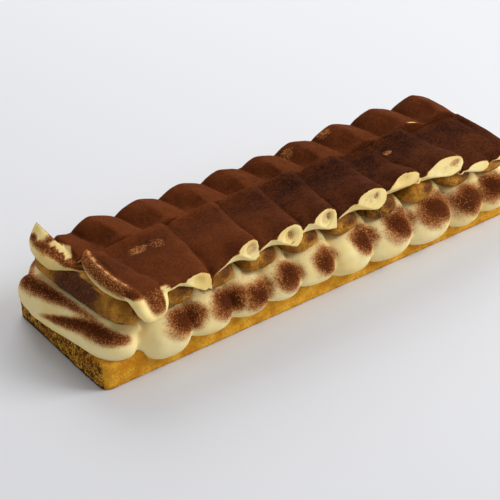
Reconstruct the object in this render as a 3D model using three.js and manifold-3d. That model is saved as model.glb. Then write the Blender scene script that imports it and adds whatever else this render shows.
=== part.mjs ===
// A bar of tiramisu, in millimetres, +Z up. The bar lies along X and its front long side faces -Y.
// From the bottom up: a sponge slab, a bed of mascarpone cream piped crosswise, a layer of
// coffee-soaked ladyfingers laid crosswise, and two rows of piped cream petals under cocoa.
import * as THREE from "three";
import { mergeVertices } from "three/addons/utils/BufferGeometryUtils.js";
import Module from "manifold-3d";

const wasm = await Module();
wasm.setup();

const { lerp, smoothstep } = THREE.MathUtils;
const ALONG_BAR = new THREE.Vector3(1, 0, 0);

// Driving dimensions
const BAR_LENGTH = 304;
const BAR_WIDTH = 92;
const CLEARANCE = 0.3;
const TOLERANCE = 0.1;
const WELD = 1e-4;

const SPONGE = {
  height: 17,
  cornerRadius: 6,
  edgeRadius: 2.5,
  shoulder: 0.75,
  footInset: 1,
  cornerSteps: 6,
};

const LADYFINGER = {
  halfWidth: 13.9,
  frontY: -46,
  backY: 36,
  middleZ: 40.5,
  rise: 9,
  drop: 7,
  roundness: 4.5,
  flank: 0.95,
  sides: 12,
  steps: 9,
};
// Where the ladyfingers lie along the bar. The first ones lie askew: how far each shifts along X for every
// millimetre of Y.
const LADYFINGER_XS = [-131.8, -102.6, -73.8, -44, -14, 16, 46.2, 76.4, 106.6, 136.8];
const LADYFINGER_SKEWS = [-0.08, -0.04];

// Fingers of cream piped crosswise. The right flank of each end leans out further than the left one,
// and each finger but the first starts under the one before it, by a share of its own width.
const CREAM_FINGER = {
  z: 20.5,
  rise: 17,
  y0: -54.5,
  y1: 48.5,
  roundness: 3.2,
  squareness: 2.2,
  lean: 2.6,
};
const CREAM_TUCK = 0.45;
const CREAM_OVERLAP = 1;
// Where the finger ends meet each other along the front, from left to right, and how far each hangs down.
const CREAM_SEAMS = [-131, -92, -64, -40, -17, 10, 39, 71, 103, 127, 155];
const CREAM_DROPS = [18.5, 13.5, 12.5, 11.5, 10, 16.5, 18.5, 20, 19, 15];
// A short finger fills the back corner at the left end.
const CREAM_CORNER = { ...CREAM_FINGER, x: -136, halfWidth: 12, drop: 16, y0: 4 };
// Cream that wells up between two ladyfingers. Its foot reaches further out than its top.
const CREAM_WELL = {
  z: 33,
  rise: 8.5,
  drop: 12,
  y0: -43.5,
  y1: 33.5,
  halfWidth: 4.6,
  roundness: 6,
  toe: 4,
  sides: 8,
  steps: 7,
};
const CREAM_CORE = { halfLength: 140, halfWidth: 35, cornerRadius: 10, bottom: 16, top: 36 };
// Strokes of cream are knots of x, y, z, half width and half thickness.
const CREAM_SKIRT = [
  [-132, 42, 21, 6, 10], [-60, 42, 21, 6, 10], [60, 42, 21, 6, 10], [152, 42, 21, 6, 10],
];
const UPPER_STROKE = [
  [-146, 41, 24, 6, 7], [-148.5, 31, 23, 9.5, 11.5], [-147.5, 18, 24, 9, 11], [-144.5, 3, 27, 8, 8.5],
  [-141.5, -14, 29.5, 6.5, 7], [-138, -32, 31, 5, 5], [-126, -43, 30, 5, 5],
];
const LOWER_STROKE = [
  [-149, 34, 16, 5, 4], [-151, 22, 17, 6, 5], [-151, 6, 18.5, 5.5, 5], [-149.5, -8, 21, 6, 6],
  [-145.5, -24, 22.5, 8, 8.5], [-139, -36.5, 23, 12, 10.5], [-129, -45, 24, 11, 11],
];

// The underside of a petal follows the ladyfingers a little above them, every other one a step higher, and
// at least a skin of cream lies over it.
const PETALS = {
  lift: 0.7,
  floorStep: 0.4,
  middleY: 3,
  skin: 1.4,
  sheet: 1.6,
  sheetShift: 0.35,
  overlap: 1.2,
  tuckDown: 2,
  tuckBack: 2,
  rootDrop: 2.4,
  rootShift: 0.2,
  filledBy: 0.1,
  droopFrom: 0.6,
  scoop: 2.4,
};
// Section of a petal across the row, as shares of its width and height: the tail climbs from the valley
// to the crest, the roll runs from the crest down to the foot. A point of the tail has its height at the
// outer edge and its height along the middle of the bar. A point of the roll has its usual height and the
// height it has where the roll falls gently.
const PETAL_TAIL = [
  [0, 0, 0], [0.06, 0.26, 0.2], [0.2, 0.47, 0.5], [0.5, 0.6, 0.82], [0.76, 0.88, 0.96], [1, 1, 1],
];
const PETAL_ROLL = [
  [0.42, 0.95, 0.78], [0.8, 0.8, 0.5], [0.97, 0.55, 0.3],
  [0.99, 0.28, 0.16], [0.8, 0.06, 0.05], [0.35, 0, 0],
];
const ROLL_ABOVE = 4;
const PETAL_UNDER_TAIL = [0, 0.42, 0.84];
// How much of the hollow in front of the middle ruffle each point of the tail takes.
const SCOOP_ON_TAIL = [0, 0.5, 0.95, 1, 0.55, 0];
const SCOOP_SPAN = { from: 0.4, deepest: 0.78, back: 0.84, to: 1 };

// Each row lists its petals from left to right: where each ends, crests, dips and touches down at its
// outer edge, where its body leaves the tail, how far out it reaches, and its crest along the bar's middle.
// Along the middle a row has a start of its own, and all its petals roll over and dip alike. The outer edge
// turns into the top over the span of shares named rise. Gentle tells how much of the roll's gentle fall a
// row takes there.
const FRONT_ROW = {
  side: -1,
  start: -128,
  innerStart: -129,
  stations: [0, 0.11, 0.29, 0.5, 0.74, 1],
  rise: [0, 0.55],
  droop: 0,
  gentle: 0,
  innerRoll: 5.5,
  innerDip: 4.5,
  rights: [-111.5, -82, -49.5, -18.5, 6.5, 44.5, 72, 107, 128, 152],
  crests: [-127, -90, -55, -27, -2, 31, 58, 89, 117, 146],
  crestZs: [53, 54, 61.8, 60.5, 61.5, 62.3, 62, 62.3, 51, 50],
  valleyZs: [50, 51.5, 42.5, 50.5, 51.5, 48, 51, 53.5, 48, 44],
  footZs: [46, 41, 47, 44.6, 46.4, 46.6, 52, 47.5, 42, 42],
  leaves: [0.5, 0.5, 0.62, 0.46, 0.36, 0.55, 0.16, 0.08, 0.12, 0.3],
  reaches: [45, 48.5, 48.5, 48.5, 48.5, 48.5, 46.5, 47.5, 49, 48],
  innerCrests: [-125, -83, -47, -17, 11, 44, 71, 97, 136, 147],
  innerZs: [54, 56.5, 57, 57.3, 57.6, 57, 53.5, 57.5, 52.5, 52],
};
const BACK_ROW = {
  side: 1,
  start: -136,
  innerStart: -139,
  stations: [0, 0.08, 0.16, 0.24, 0.32, 0.66, 1],
  rise: [0.04, 0.3],
  droop: 2.5,
  gentle: 1,
  innerRoll: 16,
  innerDip: 8.5,
  rights: [-124, -96.5, -65.5, -36, -7.5, 20.5, 49.5, 81, 114, 153],
  crests: [-132, -113, -79.5, -50, -22, 5, 32, 64.5, 96, 132],
  crestZs: new Array(10).fill(44.5),
  valleyZs: new Array(10).fill(42.8),
  footZs: new Array(10).fill(40),
  leaves: [0.4, 0.5, 0.5, 0.45, 0.5, 0.5, 0.4, 0.5, 0.5, 0.5],
  reaches: [37.5, 38.5, 38, 39, 38.5, 38, 39, 38.5, 38.5, 38],
  innerCrests: [-132, -104.5, -74, -44, -15.5, 12, 41, 73, 106, 137],
  innerZs: [55.5, 59.5, 58.8, 58.2, 57.8, 57.5, 58, 59.8, 60.5, 59.5],
};
// The front row starts with a thick lip along the left end that turns down beside a hanging tongue.
const LIP = [
  [-125, 9, 51.5, 3, 4], [-129, 1, 51.5, 4.5, 4.8], [-131.5, -12, 50.8, 5, 5.6], [-132, -24, 50.8, 5, 5.8],
  [-131, -34, 51.5, 4.8, 5], [-129.5, -42, 52.5, 4.2, 3.8], [-128.8, -47, 49.5, 3.6, 3.6],
  [-127.5, -50, 44.5, 3.2, 3.2], [-124.5, -51, 40.5, 2.8, 3], [-119, -50.8, 38.5, 2.4, 2.6],
];
// Its width and the tongue's lie along X.
const TONGUE = [
  [-120.5, -26, 51.2, 9.5, 2.6], [-120.5, -40, 51, 10.5, 3], [-120.5, -47, 48.5, 10.5, 3.2],
  [-120, -49.8, 42.5, 8.8, 3], [-119.6, -50.3, 37, 6, 2.6],
];
// The back row starts with a flap that curls up to a tip.
const FLAP = [
  { y: -5, low: [-133.5, 48], belly: [-133, 48.6], top: [-132, 49.4], half: 1.4 },
  { y: -1, low: [-136.3, 47.3], belly: [-135.6, 48.4], top: [-134, 49.8], half: 1.9 },
  { y: 6, low: [-141, 46], belly: [-139.8, 48.2], top: [-136.5, 50.3], half: 2.4 },
  { y: 14, low: [-145.3, 45], belly: [-143.2, 48.5], top: [-133, 52.5], half: 2.8 },
  { y: 22, low: [-147, 45.5], belly: [-145, 49.5], top: [-135.5, 55.5], half: 2.5 },
  { y: 30, low: [-146.8, 47], belly: [-145.5, 51], top: [-137.5, 59], half: 2 },
  { y: 37.5, low: [-144.2, 49], belly: [-143.8, 53], top: [-139.5, 62.3], half: 1.2 },
];
const FLAP_SIDES = 14;
const FLAP_SWELL = { low: 1.25, top: 0.75 };
// The ends of fingers start to lean at this share of their length, and strokes end this bluntly.
const LEAN_FROM = 0.5;
const STROKE_BLUNTNESS = 6;

// Loft: rings of points joined into one closed skin, with a tip or a flat cap at each end

function outwardGeometry(points, triangles) {
  let volume = 0;
  for (const [a, b, c] of triangles) volume += points[a].dot(points[b].clone().cross(points[c]));
  const ordered = volume < 0 ? triangles.map(([a, b, c]) => [a, c, b]) : triangles;
  const geometry = new THREE.BufferGeometry().setFromPoints(points);
  geometry.setIndex(ordered.flat());
  return geometry;
}

function skinBetween(rings) {
  const sides = rings[0].length;
  const triangles = [];
  for (let r = 0; r + 1 < rings.length; r++) {
    for (let k = 0; k < sides; k++) {
      const a = r * sides + k;
      const b = r * sides + ((k + 1) % sides);
      triangles.push([a, b, a + sides], [b, b + sides, a + sides]);
    }
  }
  return triangles;
}

function fanTo(tip, start, sides) {
  return Array.from({ length: sides }, (_, k) => [start + k, start + ((k + 1) % sides), tip]);
}

// A flat cap on a ring that lies in a plane of constant Y. Its triangles turn the way the ring runs.
function capOf(ring, start) {
  const contour = ring.map((point) => new THREE.Vector2(point.x, point.z));
  const faces = THREE.ShapeUtils.triangulateShape(contour, []);
  const turned = THREE.ShapeUtils.isClockWise(contour) ? faces.map(([a, b, c]) => [a, c, b]) : faces;
  return turned.map((face) => face.map((k) => start + k));
}

function loft(rings, firstTip, lastTip) {
  const sides = rings[0].length;
  const points = rings.flat();
  const last = points.length - sides;
  const triangles = skinBetween(rings);
  const firstEnd = firstTip ? fanTo(points.push(firstTip) - 1, 0, sides) : capOf(rings[0], 0);
  const lastEnd = lastTip ? fanTo(points.push(lastTip) - 1, last, sides) : capOf(rings.at(-1), last);
  for (const [a, b, c] of firstEnd) triangles.push([a, c, b]);
  triangles.push(...lastEnd);
  return outwardGeometry(points, triangles);
}

// Solids that can be joined and cut

function solidOf(geometry) {
  const merged = mergeVertices(geometry, WELD);
  const vertProperties = merged.attributes.position.array;
  const triVerts = new Uint32Array(merged.index.array);
  return new wasm.Manifold(new wasm.Mesh({ numProp: 3, vertProperties, triVerts }));
}

function joined(solids) {
  return wasm.Manifold.union(solids);
}

function cutBy(solid, cutters) {
  return wasm.Manifold.difference([solid, ...cutters]);
}

function largestBody(solid) {
  return solid.asOriginal().simplify(TOLERANCE).decompose().sort((a, b) => b.volume() - a.volume())[0];
}

function meshOf(solid, name, look) {
  const mesh = solid.getMesh();
  const geometry = new THREE.BufferGeometry();
  geometry.setAttribute("position", new THREE.BufferAttribute(new Float32Array(mesh.vertProperties), 3));
  geometry.setIndex([...mesh.triVerts]);
  geometry.computeVertexNormals();
  const made = new THREE.Mesh(geometry, new THREE.MeshStandardMaterial(look));
  made.name = name;
  return made;
}

// Forms shared by several pieces

function signedPower(value, power) {
  return Math.sign(value) * Math.abs(value) ** power;
}

// A rounded finger laid across the bar, from y0 to y1. Its middle shifts along X by skew for each
// millimetre of Y. At its ends lean pushes the right flank outwards, and toe the foot.
function finger(shape, grow = 0) {
  const { x, z, y0, y1, halfWidth, rise, drop, roundness, squareness = 2 } = shape;
  const { skew = 0, lean = 0, toe = 0, sides = 12, steps = 9 } = shape;
  const middleY = (y0 + y1) / 2;
  const halfLength = (y1 - y0) / 2 + grow;
  const tipAt = (y) => new THREE.Vector3(x + skew * y, y, z);
  const rings = [];
  for (let step = 1; step < steps; step++) {
    const along = -Math.cos((Math.PI * step) / steps);
    const size = (1 - Math.abs(along) ** roundness) ** (1 / roundness);
    const atEnd = size * smoothstep(Math.abs(along), LEAN_FROM, 1);
    const y = middleY + along * halfLength;
    const ring = [];
    for (let k = 0; k < sides; k++) {
      const angle = (2 * Math.PI * k) / sides;
      const side = signedPower(Math.cos(angle), 2 / squareness);
      const up = signedPower(Math.sin(angle), 2 / squareness);
      const tall = (up > 0 ? rise : drop) + grow;
      const outwards = Math.sign(y) * (lean * side - toe * up) * atEnd;
      const pointX = x + skew * y + side * (halfWidth + grow) * size;
      ring.push(new THREE.Vector3(pointX, y + outwards, z + up * tall * size));
    }
    rings.push(ring);
  }
  return solidOf(loft(rings, tipAt(middleY - halfLength), tipAt(middleY + halfLength)));
}

// A stroke of piped cream along a smooth path. Its width lies level and across the path, or along the
// direction wide, and its thickness is square to both.
function stroke(knots, { wide, grow = 0, steps = 12, sides = 12 } = {}) {
  const path = new THREE.CatmullRomCurve3(knots.map(([x, y, z]) => new THREE.Vector3(x, y, z)));
  const widths = knots.map(([, , , halfWidth, halfDepth]) => new THREE.Vector3(halfWidth, halfDepth, 0));
  const sizes = new THREE.CatmullRomCurve3(widths);
  const up = new THREE.Vector3(0, 0, 1);
  const rings = [];
  for (let step = 1; step < steps; step++) {
    const share = (1 - Math.cos((Math.PI * step) / steps)) / 2;
    const size = sizes.getPoint(share);
    const tangent = path.getTangent(share);
    const across = wide ? wide.clone().projectOnPlane(tangent) : tangent.clone().cross(up);
    across.normalize();
    const through = across.clone().cross(tangent);
    const swell = Math.sqrt(1 - (2 * share - 1) ** STROKE_BLUNTNESS);
    const ring = [];
    for (let side = 0; side < sides; side++) {
      const angle = (2 * Math.PI * side) / sides;
      const point = path.getPoint(share);
      point.addScaledVector(across, Math.cos(angle) * (size.x * swell + grow));
      point.addScaledVector(through, Math.sin(angle) * (size.y * swell + grow));
      ring.push(point);
    }
    rings.push(ring);
  }
  const firstTip = path.getPoint(0).addScaledVector(path.getTangent(0), -grow);
  const lastTip = path.getPoint(1).addScaledVector(path.getTangent(1), grow);
  return solidOf(loft(rings, firstTip, lastTip));
}

// A rectangle with rounded corners, lying level
function roundedOutline(halfLength, halfWidth, radius, z) {
  const points = [];
  const corners = [[1, 1], [-1, 1], [-1, -1], [1, -1]];
  corners.forEach(([sx, sy], quarter) => {
    for (let step = 0; step <= SPONGE.cornerSteps; step++) {
      const angle = (Math.PI / 2) * (quarter + step / SPONGE.cornerSteps);
      const cx = sx * (halfLength - radius);
      const cy = sy * (halfWidth - radius);
      points.push(new THREE.Vector3(cx + radius * Math.cos(angle), cy + radius * Math.sin(angle), z));
    }
  });
  return points;
}

// Sponge slab

function sponge(grow = 0) {
  const { height, cornerRadius, edgeRadius, shoulder, footInset } = SPONGE;
  const levels = [
    [0 - grow, footInset],
    [footInset, 0],
    [height - edgeRadius, 0],
    [height - shoulder, shoulder],
    [height + grow, edgeRadius],
  ];
  const rings = levels.map(([z, inset]) =>
    roundedOutline(BAR_LENGTH / 2 - inset + grow, BAR_WIDTH / 2 - inset + grow, cornerRadius, z),
  );
  return solidOf(loft(rings, new THREE.Vector3(0, 0, -grow), new THREE.Vector3(0, 0, height + grow)));
}

// Ladyfingers

function ladyfinger(index, grow = 0) {
  const { frontY, backY, middleZ } = LADYFINGER;
  const x = LADYFINGER_XS[index];
  const skew = LADYFINGER_SKEWS[index] ?? 0;
  return finger({ ...LADYFINGER, x, skew, z: middleZ, y0: frontY, y1: backY }, grow);
}

// How high the ladyfingers reach. Past the middle of the last one its right flank falls away.
function ladyfingerTop(x, y) {
  const { frontY, backY, middleZ, rise, roundness, halfWidth, flank } = LADYFINGER;
  const along = Math.min(1, Math.abs(2 * y - frontY - backY) / (backY - frontY));
  const across = Math.min(flank, Math.max(0, x - LADYFINGER_XS.at(-1)) / halfWidth);
  return middleZ + rise * (1 - along ** roundness) ** (1 / roundness) * Math.sqrt(1 - across ** 2);
}

// Cream bed

function pipedFinger(index, grow) {
  const left = CREAM_SEAMS[index];
  const right = CREAM_SEAMS[index + 1];
  const start = index ? left - CREAM_TUCK * (right - left) : left;
  const halfWidth = (right - start) / 2 + CREAM_OVERLAP;
  return finger({ ...CREAM_FINGER, drop: CREAM_DROPS[index], x: (start + right) / 2, halfWidth }, grow);
}

function bedCore(grow) {
  const { halfLength, halfWidth, cornerRadius, bottom, top } = CREAM_CORE;
  const rings = [bottom, top + grow].map((z) =>
    roundedOutline(halfLength + grow, halfWidth + grow, cornerRadius, z),
  );
  return solidOf(loft(rings, new THREE.Vector3(0, 0, bottom), new THREE.Vector3(0, 0, top + grow)));
}

function creamBed(grow = 0) {
  const strokes = [bedCore(grow)];
  CREAM_DROPS.forEach((_, index) => strokes.push(pipedFinger(index, grow)));
  strokes.push(finger(CREAM_CORNER, grow));
  for (let index = 1; index < LADYFINGER_XS.length; index++) {
    const x = (LADYFINGER_XS[index - 1] + LADYFINGER_XS[index]) / 2;
    strokes.push(finger({ ...CREAM_WELL, x }, grow));
  }
  for (const side of [-1, 1]) {
    const skirt = CREAM_SKIRT.map(([x, y, ...rest]) => [x, side * y, ...rest]);
    strokes.push(stroke(skirt, { grow, steps: 7, sides: 10 }));
  }
  strokes.push(stroke(UPPER_STROKE, { grow }), stroke(LOWER_STROKE, { grow }));
  return joined(strokes);
}

// Petals of the top cream. Share runs from the outer edge of a row, 0, to the middle of the bar, 1.

function petalFloor(x, y) {
  return ladyfingerTop(x, y) + PETALS.lift;
}

function petalShape(row, index, share) {
  const { overlap, middleY, droopFrom } = PETALS;
  const { innerRoll } = row;
  const innerCrest = row.innerCrests[index];
  const innerZ = row.innerZs[index] - row.droop * smoothstep(share, droopFrom, 1);
  const level = smoothstep(share, ...row.rise);
  const outerLeft = index ? row.rights[index - 1] - overlap : row.start;
  const innerLeft = index ? row.innerCrests[index - 1] + innerRoll - overlap : row.innerStart;
  const right = lerp(row.rights[index], innerCrest + innerRoll, share);
  return {
    left: lerp(outerLeft, innerLeft, share),
    crest: lerp(row.crests[index], innerCrest, share),
    right,
    valleyZ: lerp(row.valleyZs[index], innerZ - row.innerDip, level),
    crestZ: lerp(row.crestZs[index], innerZ, level),
    footZ: lerp(row.footZs[index], petalFloor(right, middleY), level),
    level,
  };
}

function tailHeight(tail, x) {
  const next = Math.max(1, tail.findIndex(([tailX]) => tailX >= x));
  const [x0, z0] = tail[next - 1];
  const [x1, z1] = tail[next];
  return lerp(z0, z1, (x - x0) / (x1 - x0));
}

function petalRing(row, index, share) {
  const { middleY, skin, floorStep, filledBy, scoop } = PETALS;
  const { sheet, sheetShift, tuckDown, tuckBack, rootDrop, rootShift } = PETALS;
  const { left, crest, right, valleyZ, crestZ, footZ, level } = petalShape(row, index, share);
  const innerY = row.side < 0 ? middleY : middleY + CLEARANCE;
  const y = lerp(row.side * row.reaches[index], innerY, share);
  const filled = smoothstep(share, 0, filledBy);
  const floorAt = (x) => petalFloor(x, y) + floorStep * (index % 2);
  const tail = PETAL_TAIL.map(([along, outerUp, innerUp]) => {
    const up = lerp(outerUp, innerUp, level);
    return [lerp(left, crest, along), lerp(valleyZ, crestZ, up)];
  });
  const roll = PETAL_ROLL.map(([along, usualUp, gentleUp]) => {
    const up = lerp(usualUp, gentleUp, level * row.gentle);
    return [lerp(crest, right, along), lerp(footZ, crestZ, up)];
  });
  const leaveX = lerp(left, crest, row.leaves[index]);
  const underTail = PETAL_UNDER_TAIL.map((along) => {
    const x = lerp(leaveX, left, along);
    return [x + sheetShift * sheet, tailHeight(tail, x) - sheet];
  });
  const fall = smoothstep(share, SCOOP_SPAN.from, SCOOP_SPAN.deepest);
  const climb = smoothstep(share, SCOOP_SPAN.back, SCOOP_SPAN.to);
  const scooped = tail.map(([x, z], at) => [x, z - scoop * fall * (1 - climb) * SCOOP_ON_TAIL[at]]);
  const above = [[left - tuckBack, valleyZ - tuckDown], ...scooped, ...roll.slice(0, ROLL_ABOVE)];
  const rootX = Math.min(left + sheet, underTail.at(-1)[0] - rootShift);
  const below = [...roll.slice(ROLL_ABOVE), ...underTail, [rootX, valleyZ - rootDrop]];
  return [
    ...above.map(([x, z]) => new THREE.Vector3(x, y, Math.max(z, floorAt(x) + skin))),
    ...below.map(([x, z]) => new THREE.Vector3(x, y, lerp(z, floorAt(x), filled))),
  ];
}

function petal(row, index) {
  const rings = row.stations.map((share) => petalRing(row, index, share));
  const innerMiddle = new THREE.Box3().setFromPoints(rings.at(-1)).getCenter(new THREE.Vector3());
  return solidOf(loft(rings, undefined, innerMiddle));
}

function petalRow(row) {
  return row.rights.map((_, index) => petal(row, index));
}

function frontRow() {
  const strokes = [LIP, TONGUE].map((knots) => stroke(knots, { wide: ALONG_BAR }));
  return joined([...petalRow(FRONT_ROW), ...strokes]);
}

// The flap is a curved leaf: each station gives its lower edge, its belly, its torn upper edge and how
// thick it is.
function flap() {
  const rings = FLAP.map(({ y, low, belly, top, half }) => {
    const spine = new THREE.CatmullRomCurve3([low, belly, top].map(([x, z]) => new THREE.Vector3(x, y, z)));
    const lean = new THREE.Vector3(belly[1] - top[1], 0, top[0] - belly[0]).normalize();
    const ring = [];
    for (let k = 0; k < FLAP_SIDES; k++) {
      const angle = (2 * Math.PI * k) / FLAP_SIDES;
      const across = (1 - Math.cos(angle)) / 2;
      const thickness = half * Math.sin(angle) * lerp(FLAP_SWELL.low, FLAP_SWELL.top, across);
      ring.push(spine.getPoint(across).addScaledVector(lean, thickness));
    }
    return ring;
  });
  return solidOf(loft(rings));
}

function backRow() {
  return joined([...petalRow(BACK_ROW), flap()]);
}

// Assembly

const LOOKS = {
  sponge: { color: 0xc98a1f, roughness: 0.9, metalness: 0 },
  ladyfinger: { color: 0x8a5a26, roughness: 0.8, metalness: 0 },
  cream: { color: 0xf1e0a6, roughness: 0.5, metalness: 0 },
  cocoa: { color: 0x4a2413, roughness: 0.95, metalness: 0 },
};

const ladyfingerRoom = LADYFINGER_XS.map((_, index) => ladyfinger(index, CLEARANCE));
const bed = cutBy(creamBed(), [sponge(CLEARANCE), ...ladyfingerRoom]);
const topCutters = [...ladyfingerRoom, creamBed(CLEARANCE)];
const front = cutBy(frontRow(), topCutters);
const lipRoom = stroke(LIP, { wide: ALONG_BAR, grow: CLEARANCE });
const back = cutBy(backRow(), [...topCutters, lipRoom]);

const tiramisu = new THREE.Group();
tiramisu.add(meshOf(sponge(), "sponge_base", LOOKS.sponge));
tiramisu.add(meshOf(largestBody(bed), "cream_bed", LOOKS.cream));
LADYFINGER_XS.forEach((_, index) => {
  const name = `ladyfinger_${String(index + 1).padStart(2, "0")}`;
  tiramisu.add(meshOf(ladyfinger(index), name, LOOKS.ladyfinger));
});
tiramisu.add(meshOf(largestBody(front), "top_cream_front", LOOKS.cocoa));
tiramisu.add(meshOf(largestBody(back), "top_cream_back", LOOKS.cocoa));

// The origin is under the middle of the bar.
const box = new THREE.Box3().setFromObject(tiramisu);
const middle = box.getCenter(new THREE.Vector3());
tiramisu.position.set(-middle.x, -middle.y, -box.min.z);

export default tiramisu;
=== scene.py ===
import math

import bpy
import numpy as np
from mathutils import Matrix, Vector
from mathutils.bvhtree import BVHTree


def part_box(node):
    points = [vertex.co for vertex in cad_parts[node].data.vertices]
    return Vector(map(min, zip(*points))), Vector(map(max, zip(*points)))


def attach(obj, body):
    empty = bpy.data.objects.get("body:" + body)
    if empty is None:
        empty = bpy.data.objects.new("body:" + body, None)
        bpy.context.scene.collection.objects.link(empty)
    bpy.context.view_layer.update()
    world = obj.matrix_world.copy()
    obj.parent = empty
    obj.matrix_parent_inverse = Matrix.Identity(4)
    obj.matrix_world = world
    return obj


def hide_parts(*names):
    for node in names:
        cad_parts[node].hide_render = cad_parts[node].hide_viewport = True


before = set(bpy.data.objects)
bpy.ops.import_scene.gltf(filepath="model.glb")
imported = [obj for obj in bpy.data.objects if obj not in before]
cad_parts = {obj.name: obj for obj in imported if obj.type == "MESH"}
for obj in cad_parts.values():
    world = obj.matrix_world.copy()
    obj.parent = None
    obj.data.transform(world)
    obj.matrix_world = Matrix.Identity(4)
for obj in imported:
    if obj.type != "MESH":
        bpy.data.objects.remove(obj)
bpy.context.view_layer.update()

# A bar of tiramisu. Shapes are written in millimetres from the middle of the sponge's underside.

mm = 0.001
spongeLow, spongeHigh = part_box("sponge_base")
barMiddle = np.array([(spongeLow.x + spongeHigh.x) / 2, (spongeLow.y + spongeHigh.y) / 2, spongeLow.z])


# Small helpers for numbers and curves

def ease(value, low, high):
    share = np.clip((np.asarray(value, float) - low) / (high - low), 0, 1)
    return share * share * (3 - 2 * share)


def fade(value, low, high):
    return 1 - ease(value, low, high)


def splinePoints(knots, shares, closed=False):
    knots = np.asarray(knots, float)
    count = len(knots)
    spans = count if closed else count - 1
    place = np.clip(np.asarray(shares, float), 0, 1) * spans
    start = np.minimum(np.floor(place).astype(int), spans - 1)
    t = (place - start)[:, None]
    pick = (lambda i: knots[i % count]) if closed else (lambda i: knots[np.clip(i, 0, count - 1)])
    before, here, there, after = pick(start - 1), pick(start), pick(start + 1), pick(start + 2)
    return here + 0.5 * t * (there - before + t * (
        2 * before - 5 * here + 4 * there - after + t * (3 * (here - there) + after - before)))


def addObject(name, data):
    made = bpy.data.objects.new(name, data)
    bpy.context.scene.collection.objects.link(made)
    return made


# Closed skins made of rings, collected into one mesh

class Skins:
    def __init__(self):
        self.points = []
        self.faces = []

    def loft(self, rings, firstTip=None, lastTip=None):
        rings = np.asarray(rings, float)
        count, sides = rings.shape[:2]
        start = sum(len(block) for block in self.points)
        self.points.append(rings.reshape(-1, 3))
        for ring in range(count - 1):
            for side in range(sides):
                a = start + ring * sides + side
                b = start + ring * sides + (side + 1) % sides
                self.faces.append((a, b, b + sides, a + sides))
        self.close(list(range(start, start + sides)), firstTip)
        lastStart = start + (count - 1) * sides
        self.close(list(range(lastStart, lastStart + sides))[::-1], lastTip)

    def close(self, loop, tip):
        if tip is None:
            self.faces.append(tuple(loop[::-1]))
            return
        at = sum(len(block) for block in self.points)
        self.points.append(np.asarray([tip], float))
        for here, there in zip(loop, loop[1:] + loop[:1]):
            self.faces.append((there, here, at))

    def piece(self, name):
        mesh = bpy.data.meshes.new(name)
        places = np.concatenate(self.points) * mm + barMiddle
        mesh.from_pydata(places.tolist(), [], self.faces)
        mesh.update()
        return addObject(name, mesh)


def applyModifiers(piece):
    graph = bpy.context.evaluated_depsgraph_get()
    finished = bpy.data.meshes.new_from_object(piece.evaluated_get(graph))
    rough = piece.data
    piece.modifiers.clear()
    piece.data = finished
    bpy.data.meshes.remove(rough)
    piece.data.shade_smooth()


def fuse(piece, voxel, softening):
    remesh = piece.modifiers.new("fuse", "REMESH")
    remesh.mode = "VOXEL"
    remesh.voxel_size = voxel * mm
    soften = piece.modifiers.new("soften", "SMOOTH")
    soften.factor = 0.5
    soften.iterations = softening
    applyModifiers(piece)


def lumps(piece, name, size, height):
    texture = bpy.data.textures.new(name, "CLOUDS")
    texture.noise_scale = size * mm
    displace = piece.modifiers.new(name, "DISPLACE")
    displace.texture = texture
    displace.texture_coords = "LOCAL"
    displace.strength = height * mm
    displace.mid_level = 0.5


def readValues(items, name, width):
    flat = np.empty(len(items) * width)
    items.foreach_get(name, flat)
    return flat.reshape(-1, width)


def pointsOf(piece):
    return (readValues(piece.data.vertices, "co", 3) - barMiddle) / mm


def setPoints(piece, points):
    piece.data.vertices.foreach_set("co", (points * mm + barMiddle).ravel())
    piece.data.update()


def normalsOf(piece):
    return readValues(piece.data.vertex_normals, "vector", 3)


def storeMask(piece, name, values):
    mask = piece.data.attributes.new(name, "FLOAT", "POINT")
    mask.data.foreach_set("value", np.clip(values, 0, 1).astype(np.float32))


def maskOf(piece, name):
    return readValues(piece.data.attributes[name].data, "value", 1)[:, 0]


def blurMask(piece, values, passes):
    count = len(piece.data.vertices)
    ends = np.empty(len(piece.data.edges) * 2, np.int32)
    piece.data.edges.foreach_get("vertices", ends)
    first, second = ends.reshape(-1, 2).T
    neighbours = np.bincount(ends, minlength=count)
    for _ in range(passes):
        total = np.bincount(first, values[second], count) + np.bincount(second, values[first], count)
        values = (values + total / neighbours) / 2
    return values


patchCore = 0.35  # share of a patch's radius that is at full strength


def patch(points, x, y, wide, deep):
    away = np.hypot((points[:, 0] - x) / wide, (points[:, 1] - y) / deep)
    return fade(away, patchCore, 1)


# Forms shared by several pieces

forms = {
    "fingerSides": 48,
    "fingerSteps": 48,
    "strokeSides": 40,
    "strokeSteps": 48,
    "leanFrom": 0.5,  # share of a finger's half length from which its end leans
    "bluntness": 6,  # of a stroke's ends
    "nearby": 0.004,  # share of a stroke over which its direction is taken
}


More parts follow.
